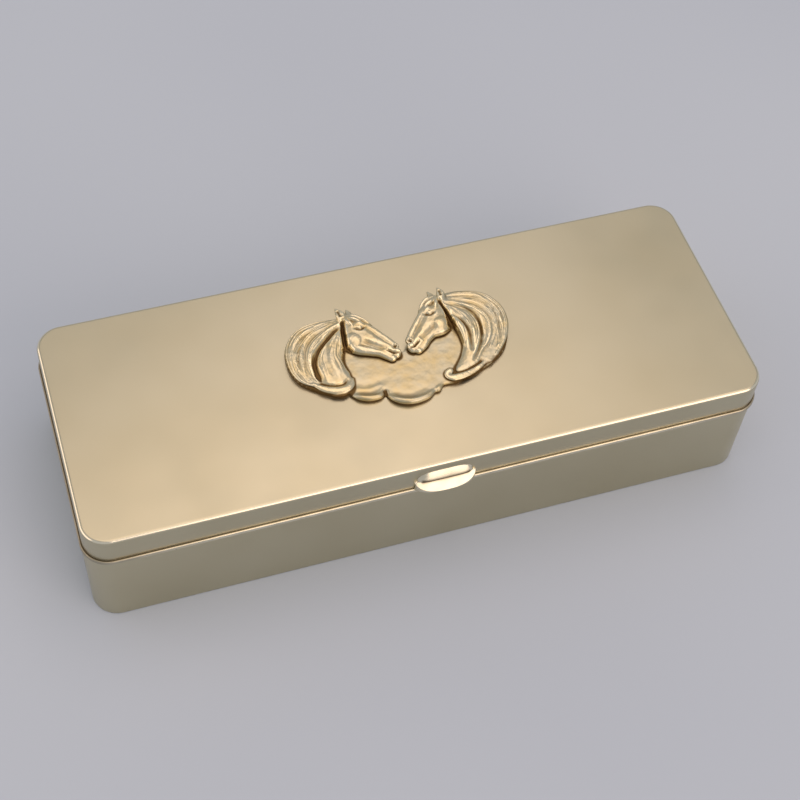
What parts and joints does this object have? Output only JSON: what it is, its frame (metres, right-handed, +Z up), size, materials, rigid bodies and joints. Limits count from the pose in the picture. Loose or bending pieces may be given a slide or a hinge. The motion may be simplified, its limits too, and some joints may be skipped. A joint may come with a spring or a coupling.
{
  "type": "hinged rectangular table box",
  "caption": "Long low metal box with rounded corners, a hinged lid with a thumb lip, a wood lining and an applied relief of two horses' heads on the lid.",
  "frame": {"origin": "centre of the flat underside, midway between the end walls and between the front and back walls", "axes": "+X along the long side, -Y to the front with its thumb lip, +Y to the hinge at the back, +Z up"},
  "size_m": [0.2134, 0.0878, 0.0467],
  "materials": {
    "satin_shell": "satin, silver-coloured plating with a warm cast",
    "polished_trim": "polished",
    "cast_relief": "cast, high points polished and hollows darkened",
    "cedar": "planed, unfinished"
  },
  "bodies": {
    "base": {"base_plate": "satin_shell", "base_wall": "satin_shell", "rim_bead": "polished_trim", "liner_bottom": "cedar", "liner_front": "cedar", "liner_right": "cedar", "liner_back": "cedar", "liner_left": "cedar", "base_knuckle_1": "satin_shell", "base_knuckle_2": "satin_shell", "base_knuckle_3": "satin_shell", "base_knuckle_4": "satin_shell", "hinge_pin": "polished_trim"},
    "lid": {"lid_plate": "satin_shell", "lid_band": "satin_shell", "thumb_lip": "polished_trim", "lid_knuckle_1": "satin_shell", "lid_knuckle_2": "satin_shell", "lid_knuckle_3": "satin_shell", "emblem_ground": "cast_relief", "left_horse": "cast_relief", "right_horse": "cast_relief", "emblem_peg_1": "polished_trim", "emblem_peg_2": "polished_trim", "emblem_peg_3": "polished_trim"}
  },
  "joints": [
    {"name": "lid_hinge", "type": "hinge", "parent": "base", "child": "lid", "pos_m": [0, 0.0422, 0.0318], "axis": [-1, 0, 0], "range_deg": [0, 100]}
  ]
}
